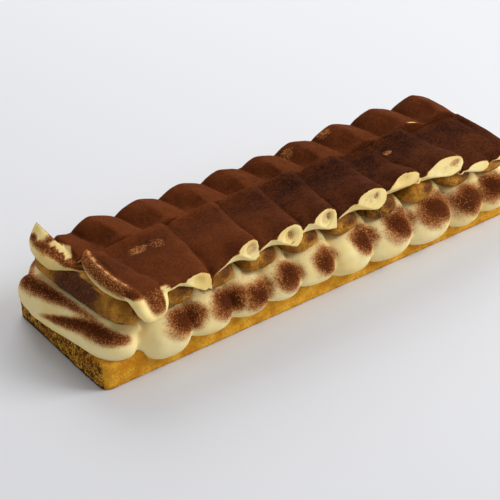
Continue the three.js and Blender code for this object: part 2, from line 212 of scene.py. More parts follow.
def addFinger(skins, shape):
    sides = shape.get("sides", forms["fingerSides"])
    steps = shape.get("steps", forms["fingerSteps"])
    roundness = shape["roundness"]
    squareness = shape.get("squareness", 2)
    skew = shape.get("skew", 0)
    middle = (shape["y0"] + shape["y1"]) / 2
    half = (shape["y1"] - shape["y0"]) / 2
    along = -np.cos(np.pi * np.arange(1, steps) / steps)
    size = (1 - np.abs(along) ** roundness) ** (1 / roundness)
    turn = 2 * np.pi * np.arange(sides) / sides
    side, up = (np.sign(wave) * np.abs(wave) ** (2 / squareness) for wave in (np.cos(turn), np.sin(turn)))
    y = middle + half * along
    x = shape["x"] + skew * y
    tall = np.where(up > 0, shape["rise"], shape["drop"])
    lean = (shape.get("lean", 0) * side - shape.get("toe", 0) * up) * size[:, None]
    lean = lean * ease(np.abs(along), forms["leanFrom"], 1)[:, None]
    rings = np.stack([
        x[:, None] + side * shape["halfWidth"] * size[:, None],
        y[:, None] + lean * np.sign(y)[:, None],
        shape["z"] + up * tall * size[:, None]], axis=-1)
    tips = [(shape["x"] + skew * tipY, tipY, shape["z"]) for tipY in (shape["y0"], shape["y1"])]
    skins.loft(rings, *tips)


def addStroke(skins, knots, wide=None):
    # each knot is x, y, z, half width, half thickness; the width lies along wide, or level and across
    knots = np.array(knots, float)
    steps, sides = forms["strokeSteps"], forms["strokeSides"]
    share = (1 - np.cos(np.pi * np.arange(1, steps) / steps)) / 2
    centre = splinePoints(knots[:, :3], share)
    size = splinePoints(knots[:, 3:], share)
    ahead = splinePoints(knots[:, :3], share + forms["nearby"])
    tangent = ahead - splinePoints(knots[:, :3], share - forms["nearby"])
    tangent /= np.linalg.norm(tangent, axis=1)[:, None]
    if wide is None:
        across = np.cross(tangent, (0, 0, 1))
    else:
        across = np.array(wide) - tangent * (tangent @ np.array(wide, float))[:, None]
    across /= np.linalg.norm(across, axis=1)[:, None]
    through = np.cross(across, tangent)
    swell = np.sqrt(1 - (2 * share - 1) ** forms["bluntness"])
    turn = 2 * np.pi * np.arange(sides) / sides
    rings = (centre[:, None, :]
             + across[:, None, :] * (np.cos(turn) * (size[:, :1] * swell[:, None]))[..., None]
             + through[:, None, :] * (np.sin(turn) * (size[:, 1:2] * swell[:, None]))[..., None])
    skins.loft(rings, knots[0, :3], knots[-1, :3])


# Sponge slab

sponge = {
    "halfLength": 152.0,
    "halfWidth": 46.0,
    "height": 17.0,
    "cornerRadius": 6.0,
    "cornerPoints": 12,
    "edgeRadius": 2.5,
    "edgeTurns": (0.1, 1.5, 5),  # from, to and number of steps round the upper edge
    "foot": [(1, 0.0), (0.3, 0.3), (0, 1.0)],  # inset and height round the lower edge
    "underInsets": (38, 20, 8, 3),
    "topInsets": (6, 14, 26, 38),
    "pointSpacing": 0.9,
    "sideFrom": 1.7,
    "rowSpacing": 0.65,
    "swell": (14, 1.2),  # size and height of the lumps
    "crumb": (2.6, 0.7),
    "stillBelow": 1.2,  # the lumps fade out towards the flat underside
}


def heading(degrees):
    return np.array([math.cos(math.radians(degrees)), math.sin(math.radians(degrees))])


def spongeRing(inset, z):
    halfX = sponge["halfLength"] - inset
    halfY = sponge["halfWidth"] - inset
    radius = min(sponge["cornerRadius"], halfY)
    turns = sponge["cornerPoints"]
    place = np.array([halfX, radius - halfY])
    ring = []
    sides = [(halfY, sponge["halfWidth"]), (halfX, sponge["halfLength"])] * 2
    for quarter, (half, fullHalf) in enumerate(sides):
        facing = 90 * (quarter + 1)
        length = 2 * (half - radius)
        count = int(2 * (fullHalf - sponge["cornerRadius"]) / sponge["pointSpacing"])
        ring += [place + heading(facing) * length * step / count for step in range(count)]
        centre = place + heading(facing) * length + heading(facing + 90) * radius
        ring += [centre + radius * heading(facing - 90 + 90 * step / turns) for step in range(turns)]
        place = centre + radius * heading(facing)
    return np.column_stack([ring, np.full(len(ring), z)])


def makeSponge():
    height, edge = sponge["height"], sponge["edgeRadius"]
    levels = [(inset, 0) for inset in sponge["underInsets"]] + sponge["foot"]
    levels += [(0, z) for z in np.arange(sponge["sideFrom"], height - edge, sponge["rowSpacing"])]
    for turn in np.linspace(*sponge["edgeTurns"]):
        levels.append((edge * (1 - math.cos(turn)), height - edge + edge * math.sin(turn)))
    levels += [(inset, height) for inset in sponge["topInsets"]]
    skins = Skins()
    skins.loft([spongeRing(inset, z) for inset, z in levels], (0, 0, 0), (0, 0, height))
    piece = skins.piece("spongeBase")
    lumps(piece, "spongeSwell", *sponge["swell"])
    lumps(piece, "spongeCrumb", *sponge["crumb"])
    applyModifiers(piece)
    points = pointsOf(piece)
    points[:, 2] = np.maximum(points[:, 2], 0)
    loose = ease(points[:, 2], 0, sponge["stillBelow"])
    rest = np.concatenate(skins.points)
    setPoints(piece, rest + (points - rest) * loose[:, None])
    return piece


# Cream bed: fat fingers piped crosswise, cream welling up between the biscuits, two strokes at the left end

creamBed = {
    "finger": {"z": 20.5, "rise": 17, "y0": -54.5, "y1": 48.5, "roundness": 3.2, "squareness": 2.2,
               "lean": 2.6},  # the right flank of a finger's end stands prouder than the left
    "drops": [18.5, 13.5, 12.5, 11.5, 10, 16.5, 18.5, 20, 19, 15],  # how far each finger hangs down
    "tuck": 0.45,  # share of a finger's width that lies under the finger before it
    "overlap": 1,
    # where the finger ends meet each other along the front, from left to right
    "seams": [-131, -92, -64, -40, -17, 10, 39, 71, 103, 127, 155],
    "corner": {"x": -136, "halfWidth": 12, "drop": 16, "y0": 4},  # fills the back corner at the left end
    "skirt": [(-132, 42, 21, 6, 10), (-60, 42, 21, 6, 10), (60, 42, 21, 6, 10), (152, 42, 21, 6, 10)],
    "well": {"halfWidth": 4.6, "z": 33.0, "rise": 8.5, "drop": 12.0, "y0": -43.5, "y1": 33.5,
             "roundness": 6, "toe": 4},
    "upperStroke": [(-146, 41, 24, 6, 7), (-148.5, 31, 23, 9.5, 11.5), (-147.5, 18, 24, 9, 11),
                    (-144.5, 3, 27, 8, 8.5), (-141.5, -14, 29.5, 6.5, 7), (-138, -32, 31, 5, 5),
                    (-126, -43, 30, 5, 5)],
    "lowerStroke": [(-149, 34, 16, 5, 4), (-151, 22, 17, 6, 5), (-151, 6, 18.5, 5.5, 5),
                    (-149.5, -8, 21, 6, 6), (-145.5, -24, 22.5, 8, 8.5), (-139, -36.5, 23, 12, 10.5),
                    (-129, -45, 24, 11, 11)],
    "core": (-140, 140, 35, 36),  # from, to, half width and top of the cream under the biscuits
    "coreSink": 1,  # into the sponge
    "voxel": 1.06,
    "softening": 4,
    "swell": (12, 0.9),
}


def makeCreamBed():
    skins = Skins()
    seams = creamBed["seams"]
    for left, right, drop in zip(seams, seams[1:], creamBed["drops"]):
        start = left - creamBed["tuck"] * (right - left) * (left > seams[0])
        halfWidth = (right - start) / 2 + creamBed["overlap"]
        own = {"x": (start + right) / 2, "halfWidth": halfWidth, "drop": drop}
        addFinger(skins, {**creamBed["finger"], **own})
    addFinger(skins, {**creamBed["finger"], **creamBed["corner"]})
    for here, there in zip(ladyfinger["xs"], ladyfinger["xs"][1:]):
        addFinger(skins, {"x": (here + there) / 2, **creamBed["well"]})
    for side in (-1, 1):
        addStroke(skins, [(x, side * y, z, *size) for x, y, z, *size in creamBed["skirt"]])
    for knots in (creamBed["upperStroke"], creamBed["lowerStroke"]):
        addStroke(skins, knots)
    left, right, halfWidth, top = creamBed["core"]
    bottom = sponge["height"] - creamBed["coreSink"]
    corners = [(left, -halfWidth), (right, -halfWidth), (right, halfWidth), (left, halfWidth)]
    skins.loft([[(x, y, z) for x, y in corners] for z in (bottom, top)])
    piece = skins.piece("creamBed")
    fuse(piece, creamBed["voxel"], creamBed["softening"])
    lumps(piece, "creamSwell", *creamBed["swell"])
    applyModifiers(piece)
    return piece


# Ladyfingers

ladyfinger = {
    "xs": [-131.8, -102.6, -73.8, -44, -14, 16, 46.2, 76.4, 106.6, 136.8],
    "skews": [-0.08, -0.04] + [0] * 8,  # the first ones lie askew
    "finger": {"z": 40.5, "rise": 9, "drop": 7, "y0": -46, "y1": 36, "halfWidth": 13.9,
               "roundness": 4.5, "sides": 64, "steps": 96},
    "flank": 0.95,  # how far down its right flank the last one is covered
    "swell": (9, 1.1),
    "crust": (2.2, 0.8),
}


def makeLadyfinger(index):
    skins = Skins()
    own = {"x": ladyfinger["xs"][index], "skew": ladyfinger["skews"][index]}
    addFinger(skins, {**ladyfinger["finger"], **own})
    piece = skins.piece(f"ladyfinger{index + 1:02d}")
    lumps(piece, f"biscuitSwell{index}", *ladyfinger["swell"])
    lumps(piece, f"biscuitCrust{index}", *ladyfinger["crust"])
    applyModifiers(piece)
    return piece


def ladyfingerTop(x, y):
    finger = ladyfinger["finger"]
    front, back, power = finger["y0"], finger["y1"], finger["roundness"]
    along = np.minimum(1, np.abs(2 * y - front - back) / (back - front))
    across = np.clip((x - ladyfinger["xs"][-1]) / finger["halfWidth"], 0, ladyfinger["flank"])
    return finger["z"] + finger["rise"] * (1 - along ** power) ** (1 / power) * (1 - across ** 2) ** 0.5


# Top cream: two rows of ruffled petals

petals = {
    "lift": 0.7,  # between a biscuit and the petal over it
    "floorStep": 0.4,  # every other petal lies a step higher
    "middleY": 3.0,
    "gap": 0.3,
    "skin": 1.4,  # least cream over a biscuit
    "sheet": 1.6,  # thickness of a petal's tail at the outer edge
    "sheetShift": 0.35,  # how far its underside lies to the right, as a share of the thickness
    "stations": 30,
    "crowding": 1.25,  # the stations crowd towards the outer edge
    "outlinePoints": 90,
    "voxel": 0.68,
    "softening": 2,
    "swell": (7, 0.4),
    "filledBy": 0.1,  # share of the depth over which the underside comes down to the biscuits
    "droopFrom": 0.6,
    # tail from valley to crest, then the rolled side from crest to foot, as shares of width and height;
    # the tail climbs another way along the middle of the bar, and the back row rolls over gently there
    "tail": [(0, 0), (0.06, 0.26), (0.2, 0.47), (0.5, 0.6), (0.76, 0.88), (1, 1)],
    "innerTail": [(0, 0), (0.06, 0.2), (0.2, 0.5), (0.5, 0.82), (0.76, 0.96), (1, 1)],
    "rollAbove": 4,  # points of the roll that belong to the top
    "roll": [(0.42, 0.95), (0.8, 0.8), (0.97, 0.55), (0.99, 0.28), (0.8, 0.06), (0.35, 0)],
    "gentleRoll": [(0.42, 0.78), (0.8, 0.5), (0.97, 0.3), (0.99, 0.16), (0.8, 0.05), (0.35, 0)],
    "underTail": (0, 0.42, 0.84),
    "overlap": 1.2,  # of a petal and the one before it
    "tuckDown": 2.0,  # how far the tail runs down behind the petal before it
    "tuckBack": 2.0,
    "rootDrop": 2.4,
    "rootShift": 0.2,
    "scoop": 2.4,  # hollow in front of the middle ruffle
    "scoopFall": (0.4, 0.78),
    "scoopClimb": (0.84, 1),
    "scoopTail": (0, 0.5, 0.95, 1, 0.55, 0),
}

frontRow = {
    "side": -1,
    "start": -128.0,
    "innerStart": -129.0,
    "rise": (0, 0.55),  # span of the depth over which the outer edge turns into the top
    "droop": 0.0,
    "gentle": 0.0,  # share of the roll's gentle fall behind the outer edge
    "innerRoll": 5.5,  # along the middle of the bar each petal rolls over this far past its crest
    "innerDip": 4.5,  # and dips this far between two petals
    # each petal at its outer edge, from left to right
    "rights": [-111.5, -82, -49.5, -18.5, 6.5, 44.5, 72, 107, 128, 152],
    "crests": [-127, -90, -55, -27, -2, 31, 58, 89, 117, 146],
    "crestZs": [53, 54, 61.8, 60.5, 61.5, 62.3, 62, 62.3, 51, 50],
    "valleyZs": [50, 51.5, 42.5, 50.5, 51.5, 48, 51, 53.5, 48, 44],
    "footZs": [46, 41, 47, 44.6, 46.4, 46.6, 52, 47.5, 42, 42],
    "leaves": [0.5, 0.5, 0.62, 0.46, 0.36, 0.55, 0.16, 0.08, 0.12, 0.3],
    "reaches": [45, 48.5, 48.5, 48.5, 48.5, 48.5, 46.5, 47.5, 49, 48],
    # and along the middle of the bar
    "innerCrests": [-125, -83, -47, -17, 11, 44, 71, 97, 136, 147],
    "innerZs": [54, 56.5, 57, 57.3, 57.6, 57, 53.5, 57.5, 52.5, 52],
    # hollows in the outer faces: x, z, half width, half height, depth, share of cocoa, which also paints
    # the shade inside the hollow
    "hollows": [(-91, 48, 6.5, 5, 1.4, 0.14), (-54.5, 54.5, 6, 6.5, 1.6, 0.3),
                (-27, 52.5, 6.5, 6.5, 2.0, 0.25), (-26, 52, 2.6, 4.4, 1.2, 0.38),
                (-1, 54, 6, 6.5, 1.8, 0.25), (1.6, 54.8, 2.2, 4.6, 1.2, 0.36),
                (31, 54, 9, 6, 1.5, 0.2), (36.5, 55.5, 2.4, 4, 1.0, 0.32), (59, 57.5, 7, 4, 1.0, 0.2),
                (93, 52.5, 9, 4, 0.8, 0.2), (100, 55, 7, 4, 1.1, 0.36)],
    # thin cocoa: x, y, half width, half depth, share taken away
    "bare": [(-103, -9, 9, 6, 0.42), (-92, -12, 6, 8, 0.34), (78, -11, 5, 4, 0.44)],
    "ruffleShade": 0.22,  # painted shade: the cocoa is drawn darker in the hollow behind the middle ruffle
    "rightShade": 0.4,  # and towards the right
    # a thick lip along the left end that turns down beside a hanging tongue
    "lip": [(-125, 9, 51.5, 3, 4), (-129, 1, 51.5, 4.5, 4.8), (-131.5, -12, 50.8, 5, 5.6),
            (-132, -24, 50.8, 5, 5.8), (-131, -34, 51.5, 4.8, 5), (-129.5, -42, 52.5, 4.2, 3.8),
            (-128.8, -47, 49.5, 3.6, 3.6), (-127.5, -50, 44.5, 3.2, 3.2), (-124.5, -51, 40.5, 2.8, 3),
            (-119, -50.8, 38.5, 2.4, 2.6)],
    "tongue": [(-120.5, -26, 51.2, 9.5, 2.6), (-120.5, -40, 51, 10.5, 3), (-120.5, -47, 48.5, 10.5, 3.2),
               (-120, -49.8, 42.5, 8.8, 3), (-119.6, -50.3, 37, 6, 2.6)],
}

backRow = {
    "side": 1,
    "start": -136.0,
    "innerStart": -139.0,
    "rise": (0.04, 0.3),
    "droop": 2.5,  # the row falls a little towards the middle of the bar
    "gentle": 1.0,
    "innerRoll": 16.0,
    "innerDip": 8.5,
    "rights": [-124, -96.5, -65.5, -36, -7.5, 20.5, 49.5, 81, 114, 153],
    "crests": [-132, -113, -79.5, -50, -22, 5, 32, 64.5, 96, 132],
    "crestZs": [44.5] * 10,
    "valleyZs": [42.8] * 10,
    "footZs": [40] * 10,
    "leaves": [0.4, 0.5, 0.5, 0.45, 0.5, 0.5, 0.4, 0.5, 0.5, 0.5],
    "reaches": [37.5, 38.5, 38, 39, 38.5, 38, 39, 38.5, 38.5, 38],
    "innerCrests": [-132, -104.5, -74, -44, -15.5, 12, 41, 73, 106, 137],
    "innerZs": [55.5, 59.5, 58.8, 58.2, 57.8, 57.5, 58, 59.8, 60.5, 59.5],
    "hollows": [],
    "bare": [(26, 23, 7, 6, 0.38), (58, 26, 7, 6, 0.38), (112, 4.6, 8, 1.0, 0.8)],
    "ruffleShade": 0.0,
    "rightShade": 0.15,
    # the flap at the left end: y, then x and z of its lower edge, its belly and its torn upper edge,
    # and its half thickness
    "flap": [(-5, -133.5, 48, -133, 48.6, -132, 49.4, 1.4),
             (-1, -136.3, 47.3, -135.6, 48.4, -134, 49.8, 1.9),
             (6, -141, 46, -139.8, 48.2, -136.5, 50.3, 2.4),
             (14, -145.3, 45, -143.2, 48.5, -133, 52.5, 2.8),
             (22, -147, 45.5, -145, 49.5, -135.5, 55.5, 2.5),
             (30, -146.8, 47, -145.5, 51, -137.5, 59, 2),
             (37.5, -144.2, 49, -143.8, 53, -139.5, 62.3, 1.2)],
    "flapSwell": (1.25, 0.75),  # its thickness at the lower and at the torn edge
    "flapSteps": 40,
    "flapSides": 36,
}


def petalFloor(x, y):
    return ladyfingerTop(x, y) + petals["lift"]


def petalShape(row, index, share):
    inner = row["innerCrests"]
    innerZ = row["innerZs"][index] - row["droop"] * ease(share, petals["droopFrom"], 1)
    curl, lap = row["innerRoll"], petals["overlap"]
    outside = (row["rights"][index - 1] - lap if index else row["start"], row["valleyZs"][index],
               row["crests"][index], row["crestZs"][index], row["rights"][index], row["footZs"][index])
    right = np.interp(share, (0, 1), (row["rights"][index], inner[index] + curl))
    inside = (inner[index - 1] + curl - lap if index else row["innerStart"], innerZ - row["innerDip"],
              inner[index], innerZ, inner[index] + curl, petalFloor(right, petals["middleY"]))
    level = ease(share, *row["rise"])
    return [np.interp(share if place % 2 == 0 else level, (0, 1), pair)
            for place, pair in enumerate(zip(outside, inside))]


def petalRing(row, index, share):
    left, valley, crest, crestZ, right, foot = petalShape(row, index, share)
    sheet = petals["sheet"]
    inner = petals["middleY"] + (petals["gap"] if row["side"] > 0 else 0)
    y = np.interp(share, (0, 1), (row["side"] * row["reaches"][index], inner))
    filled = ease(share, 0, petals["filledBy"])
    step = petals["floorStep"] * (index % 2)
    level = ease(share, *row["rise"])
    tail = np.array(petals["tail"]) * (1 - level) + np.array(petals["innerTail"]) * level
    tail = tail * (crest - left, crestZ - valley) + (left, valley)
    eased = level * row["gentle"]
    roll = np.array(petals["roll"]) * (1 - eased) + np.array(petals["gentleRoll"]) * eased
    roll = roll * (right - crest, crestZ - foot) + (crest, foot)
    leave = left + row["leaves"][index] * (crest - left)
    lowerX = leave + (left - leave) * np.array(petals["underTail"])
    lowerZ = np.interp(lowerX, tail[:, 0], tail[:, 1]) - sheet
    lower = np.column_stack([lowerX + petals["sheetShift"] * sheet, lowerZ])
    scoop = petals["scoop"] * ease(share, *petals["scoopFall"]) * fade(share, *petals["scoopClimb"])
    tail[:, 1] -= scoop * np.array(petals["scoopTail"])
    above = petals["rollAbove"]
    top = [(left - petals["tuckBack"], valley - petals["tuckDown"]), *tail, *roll[:above]]
    rootX = min(left + sheet, lower[-1, 0] - petals["rootShift"])
    under = [*roll[above:], *lower, (rootX, valley - petals["rootDrop"])]
    knots = [(x, y, max(z, petalFloor(x, y) + step + petals["skin"])) for x, z in top]
    knots += [(x, y, z + (petalFloor(x, y) + step - z) * filled) for x, z in under]
    return splinePoints(knots, np.arange(petals["outlinePoints"]) / petals["outlinePoints"], closed=True)


def addFlap(skins, row):
    stations = splinePoints(row["flap"], np.linspace(0, 1, row["flapSteps"]))
    turn = 2 * np.pi * np.arange(row["flapSides"]) / row["flapSides"]
    across = (1 - np.cos(turn)) / 2  # 0 at the lower edge, 1 at the torn edge
    swell = np.interp(across, (0, 1), row["flapSwell"])
    rings = []
    for y, lowX, lowZ, bellyX, bellyZ, topX, topZ, half in stations:
        middle = splinePoints([(lowX, lowZ), (bellyX, bellyZ), (topX, topZ)], across)
        lean = np.array([bellyZ - topZ, topX - bellyX])
        lean /= np.linalg.norm(lean)
        thick = half * np.sin(turn) * swell
        rings.append([(x + lean[0] * t, y, z + lean[1] * t) for (x, z), t in zip(middle, thick)])
    skins.loft(rings)


def makeRow(row, name):
    skins = Skins()
    shares = np.linspace(0, 1, petals["stations"]) ** petals["crowding"]
    for index in range(len(row["rights"])):
        skins.loft([petalRing(row, index, share) for share in shares])
    if "lip" in row:
        for knots in (row["lip"], row["tongue"]):
            addStroke(skins, knots, wide=(1, 0, 0))
    if "flap" in row:
        addFlap(skins, row)
    piece = skins.piece(name)
    fuse(piece, petals["voxel"], petals["softening"])
    lumps(piece, name + "Swell", *petals["swell"])
    applyModifiers(piece)
    dentPetals(piece, row)
    return piece


dents = {
    "facing": (0.25, 0.8),  # how far a point has to face outwards
    "beyond": 40.0,  # only this far from the bar's middle
    "fade": (0.15, 1.0),
    "dustAndShadeFade": (0.05, 0.7),
    "rimFade": (0.05, 0.3),
}


def dentPetals(piece, row):
    points, normals = pointsOf(piece), normalsOf(piece)
    outward = ease(row["side"] * normals[:, 1], *dents["facing"])
    dusted, sunk = np.zeros(len(points)), np.zeros(len(points))
    for x, z, wide, tall, depth, dust in row["hollows"]:
        away = np.hypot((points[:, 0] - x) / wide, (points[:, 2] - z) / tall)
        hollow = outward * (np.abs(points[:, 1]) > dents["beyond"]) * fade(away, *dents["fade"])
        points[:, 1] -= row["side"] * hollow * depth
        # the cocoa in a hollow is partly real specks and partly painted shade
        dusted = np.maximum(dusted, dust * ease(hollow, *dents["dustAndShadeFade"]))
        sunk = np.maximum(sunk, ease(hollow, *dents["rimFade"]))
    setPoints(piece, points)
    storeMask(piece, "hollowDustAndShade", dusted)
    storeMask(piece, "hollow", sunk)


# Cocoa falls from above: how much of it lands on each point

cocoaFall = {
    "spread": 14.0,  # degrees off the vertical
    "rays": 8,  # round the vertical one, every other one closer to it
    "closer": 0.5,
    "lift": 0.4,  # mm off the surface
    "leastUp": -0.1,  # points that face further down get none
}


def fallingShare(piece, covers):
    graph = bpy.context.evaluated_depsgraph_get()
    trees = [BVHTree.FromObject(cover, graph) for cover in covers]
    points, normals = pointsOf(piece), normalsOf(piece)
    starts = (points + normals * cocoaFall["lift"]) * mm + barMiddle
    tilt = math.tan(math.radians(cocoaFall["spread"]))
    directions = [Vector((0, 0, 1))]
    for ray in range(cocoaFall["rays"]):
        turn = 2 * math.pi * ray / cocoaFall["rays"]
        aside = tilt * (1 if ray % 2 else cocoaFall["closer"])
        directions.append(Vector((aside * math.cos(turn), aside * math.sin(turn), 1)).normalized())
    opened = np.zeros(len(points))
    for at in np.nonzero(normals[:, 2] > cocoaFall["leastUp"])[0]:
        start = Vector(starts[at])
        for direction in directions:
            if all(tree.ray_cast(start, direction)[0] is None for tree in trees):
                opened[at] += 1
    return opened / len(directions), points, normals


# Materials

def feed(tree, node, inputs):
    for label, value in inputs.items():
        if isinstance(value, bpy.types.NodeSocket):
            tree.links.new(value, node.inputs[label])
        else:
            node.inputs[label].default_value = value


def addNode(tree, kind, inputs=None, **settings):
    made = tree.nodes.new(kind)
    for key, value in settings.items():
        setattr(made, key, value)
    feed(tree, made, inputs or {})
    return made


def mathNode(tree, operation, first, second=0.0, clamp=False):
    inputs = {0: first, 1: second}
    return addNode(tree, "ShaderNodeMath", inputs, operation=operation, use_clamp=clamp).outputs[0]


def sumNode(tree, first, firstShare, second, secondShare):
    return mathNode(tree, "ADD", mathNode(tree, "MULTIPLY", first, firstShare),
                    mathNode(tree, "MULTIPLY", second, secondShare))


def swingNode(tree, noise, strength):
    return mathNode(tree, "MULTIPLY", mathNode(tree, "SUBTRACT", noise, 0.5), strength)


def rangeNode(tree, value, low, high, toLow=0.0, toHigh=1.0):
    inputs = {"Value": value, "From Min": low, "From Max": high, "To Min": toLow, "To Max": toHigh}
    return addNode(tree, "ShaderNodeMapRange", inputs, interpolation_type="SMOOTHSTEP").outputs["Result"]


def mixNode(tree, share, first, second):
    inputs = {"Factor": share, "A": first, "B": second}
    return addNode(tree, "ShaderNodeMix", inputs, data_type="RGBA").outputs["Result"]


def noiseNode(tree, coordinates, size, detail=3.0, roughness=0.55):
    inputs = {"Vector": coordinates, "Scale": 1 / (size * mm), "Detail": detail, "Roughness": roughness}
    return addNode(tree, "ShaderNodeTexNoise", inputs).outputs["Fac"]


def cellNode(tree, coordinates, size):
    return addNode(tree, "ShaderNodeTexVoronoi", {"Vector": coordinates, "Scale": 1 / (size * mm)})


def coordinatesNode(tree):
    return addNode(tree, "ShaderNodeTexCoord").outputs["Object"]


def srgb(*levels):
    shares = [level / 255 for level in levels]
    linear = [share / 12.92 if share <= 0.04045 else ((share + 0.055) / 1.055) ** 2.4 for share in shares]
    return (*linear, 1.0)


def newGroup(name, inputs, outputs):
    group = bpy.data.node_groups.new(name, "ShaderNodeTree")
    for label, value in inputs.items():
        kind = "NodeSocketColor" if isinstance(value, tuple) else "NodeSocketFloat"
        group.interface.new_socket(label, in_out="INPUT", socket_type=kind).default_value = value
    for label in outputs:
        kind = "NodeSocketColor" if label == "Color" else "NodeSocketFloat"
        group.interface.new_socket(label, in_out="OUTPUT", socket_type=kind)
    return group, addNode(group, "NodeGroupInput"), addNode(group, "NodeGroupOutput")


cocoaLook = {  # sizes of grains and patches in mm
    "under": srgb(236, 220, 166),
    "dark": srgb(33, 11, 4),
    "light": srgb(101, 49, 19),
    "film": srgb(186, 112, 54),  # a thin veil of cocoa that melts into the cream
    "fineGrain": 0.4,
    "coarseGrain": 0.7,
    "fineShare": 0.55,
    "cloud": 2.2,
    "drift": 9,
    "powder": 1.5,
    "grainWeight": 0.82,
    "cloudWeight": 0.08,
    "grainEdge": (-0.06, 0.16),
    "thinning": (0.1, 0.8, 0.5, 1.0),  # sparse grains are paler than dense ones
    "driftTone": 0.7,
    "powderTone": 1.7,
    "veilCloud": 0.2,
    "veil": (0.0, 0.48, 0.0, 0.95),
}


def makeCocoaGroup():
    look = cocoaLook
    group, given, made = newGroup(
        "cocoaDust",
        {"Coverage": 1.0, "Tone": 0.5, "Under Color": look["under"],
         "Dark": look["dark"], "Light": look["light"], "Film": look["film"]},
        ["Color", "Mask", "Height"])
    coverage = given.outputs["Coverage"]
    coordinates = coordinatesNode(group)
    specks = []
    for size in (look["fineGrain"], look["coarseGrain"]):
        cells = cellNode(group, coordinates, size)
        specks.append(addNode(group, "ShaderNodeSeparateColor", {0: cells.outputs["Color"]}))
    cloud = noiseNode(group, coordinates, look["cloud"], 4.0)
    grain = sumNode(group, specks[0].outputs[0], look["fineShare"],
                    specks[1].outputs[1], 1 - look["fineShare"])
    threshold = sumNode(group, grain, look["grainWeight"], cloud, look["cloudWeight"])
    lead = mathNode(group, "SUBTRACT", coverage, threshold)
    mask = mathNode(group, "MULTIPLY", rangeNode(group, lead, *look["grainEdge"]),
                    rangeNode(group, coverage, *look["thinning"]))
    powder = noiseNode(group, coordinates, look["powder"], 4.0, 0.75)
    drift = swingNode(group, noiseNode(group, coordinates, look["drift"], 4.0), look["driftTone"])
    grit = swingNode(group, powder, look["powderTone"])
    tone = mathNode(group, "ADD", given.outputs["Tone"], mathNode(group, "ADD", drift, grit), clamp=True)
    cocoa = mixNode(group, tone, given.outputs["Dark"], given.outputs["Light"])
    clouded = mathNode(group, "SUBTRACT", coverage, mathNode(group, "MULTIPLY", cloud, look["veilCloud"]))
    veil = rangeNode(group, clouded, *look["veil"])
    veiled = mixNode(group, veil, given.outputs["Under Color"], given.outputs["Film"])
    height = sumNode(group, mask, 0.5, mathNode(group, "MULTIPLY", powder, mask), 0.5)
    feed(group, made, {"Color": mixNode(group, mask, veiled, cocoa), "Mask": mask, "Height": height})
    return group


mottleLook = {
    "broad": 9,
    "crumb": 1.4,
    "pores": 1.6,
    "patches": 3.6,
    "specks": 0.9,
    "broadEdge": (0.35, 0.65),
    "crumbShade": (0.35, 0.75, 0.0, 0.6),
    "patchShare": 0.55,
    "spotsFrom": 0.8,  # the spotting is taken off this
    "spotEdge": (0.0, 0.16),
    "poreEdge": (0.1, 0.45),
    "crumbHeight": 0.7,
}


def mottleColors(look):
    return {"Pale": look["pale"], "Deep": look["deep"], "Spots": look["spots"]}


def makeMottleGroup():
    look = mottleLook
    inputs = {**mottleColors(spongeLook), "Spotting": 0.3}
    group, given, made = newGroup("mottle", inputs, ["Color", "Height"])
    deep = given.outputs["Deep"]
    coordinates = coordinatesNode(group)
    broad = noiseNode(group, coordinates, look["broad"], 5.0, 0.6)
    crumb = noiseNode(group, coordinates, look["crumb"], 4.0, 0.65)
    pores = cellNode(group, coordinates, look["pores"])
    base = mixNode(group, rangeNode(group, broad, *look["broadEdge"]), given.outputs["Pale"], deep)
    shade = mixNode(group, rangeNode(group, crumb, *look["crumbShade"]), base, deep)
    patches = noiseNode(group, coordinates, look["patches"], 5.0, 0.65)
    specks = noiseNode(group, coordinates, look["specks"], 3.0, 0.6)
    spots = sumNode(group, patches, look["patchShare"], specks, 1 - look["patchShare"])
    needed = mathNode(group, "SUBTRACT", look["spotsFrom"], given.outputs["Spotting"])
    reach = mathNode(group, "SUBTRACT", spots, needed)
    spotted = mixNode(group, rangeNode(group, reach, *look["spotEdge"]), shade, given.outputs["Spots"])
    pit = rangeNode(group, pores.outputs["Distance"], *look["poreEdge"])
    height = sumNode(group, crumb, look["crumbHeight"], pit, 1 - look["crumbHeight"])
    feed(group, made, {"Color": spotted, "Height": height})
    return group


softLight = {"radius": (1.0, 0.65, 0.25), "scale": 3.5}  # how far light soaks in, scale in mm


def newMaterial(name, subsurface=0.0, specular=0.1):
    made = bpy.data.materials.new(name)
    made.use_nodes = True
    shader = made.node_tree.nodes["Principled BSDF"]
    feed(made.node_tree, shader, {
        "Specular IOR Level": specular, "Subsurface Weight": subsurface,
        "Subsurface Radius": softLight["radius"], "Subsurface Scale": softLight["scale"] * mm})
    return made, made.node_tree, shader


def attributeNode(tree, name):
    return addNode(tree, "ShaderNodeAttribute", attribute_name=name).outputs["Fac"]


def wire(tree, shader, color, roughness, height, distance):
    bump = addNode(tree, "ShaderNodeBump", {"Distance": distance * mm, "Strength": 1.0, "Height": height})
    feed(tree, shader, {"Normal": bump.outputs["Normal"], "Base Color": color, "Roughness": roughness})


def mottleNode(tree, group, look):
    inputs = {**mottleColors(look), "Spotting": attributeNode(tree, "brownedAndShaded")}
    return addNode(tree, "ShaderNodeGroup", inputs, node_tree=group).outputs


def cocoaNode(tree, group, inputs):
    inputs = {"Coverage": attributeNode(tree, "cocoa"), **inputs}
    return addNode(tree, "ShaderNodeGroup", inputs, node_tree=group).outputs


creamLook = {
    "pipedCream": (srgb(246, 229, 172), srgb(240, 215, 146)),  # pale and deep
    "petalCream": (srgb(244, 224, 158), srgb(234, 204, 126)),
    "drift": 20,
    "driftEdge": (0.35, 0.7),
    "bare": 0.48,  # roughness of bare cream, and under cocoa
    "dusted": 0.95,
    "subsurface": 0.35,
    "specular": 0.06,
    "grainHeight": 0.3,
}


